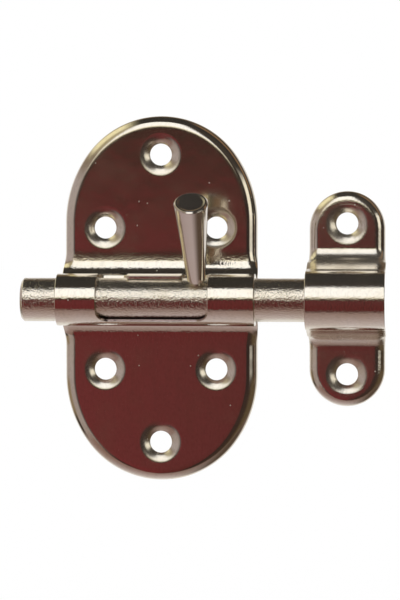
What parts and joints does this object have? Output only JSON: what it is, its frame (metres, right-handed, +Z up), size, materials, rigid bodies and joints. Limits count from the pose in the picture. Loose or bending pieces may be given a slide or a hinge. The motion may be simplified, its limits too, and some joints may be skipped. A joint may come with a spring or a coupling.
{
  "type": "surface door bolt",
  "caption": "Nickel-plated surface door bolt with a rolled barrel on a pressed oval plate, a sliding round bolt with a tapered turning handle, and an arched keeper.",
  "frame": {"origin": "centre of the plate's four-screw pattern, on the plane of the door", "axes": "+X along the bolt towards the keeper, +Z up the plate, -Y out of the door towards the user"},
  "size_m": [0.0835, 0.0317, 0.085],
  "materials": {
    "plated_sheet": "bright warm nickel plate on smooth pressed sheet",
    "plated_rod": "slightly grainy warm nickel plate",
    "turned_handle": "smooth turned, nickel plate",
    "spring_steel": "bare tempered spring steel"
  },
  "bodies": {
    "plate": {"barrel_plate": "plated_sheet", "keeper": "plated_sheet"},
    "clip": {"friction_clip": "spring_steel"},
    "bolt": {"bolt_rod": "plated_rod", "handle": "turned_handle"}
  },
  "joints": [
    {"name": "bolt_slide", "type": "slide", "parent": "plate", "child": "clip", "axis": [1, 0, 0], "range_m": [-0.02, 0]},
    {"name": "handle_turn", "type": "hinge", "parent": "clip", "child": "bolt", "pos_m": [0, -0.012, 0], "axis": [-1, 0, 0], "range_deg": [-93, 42]}
  ]
}
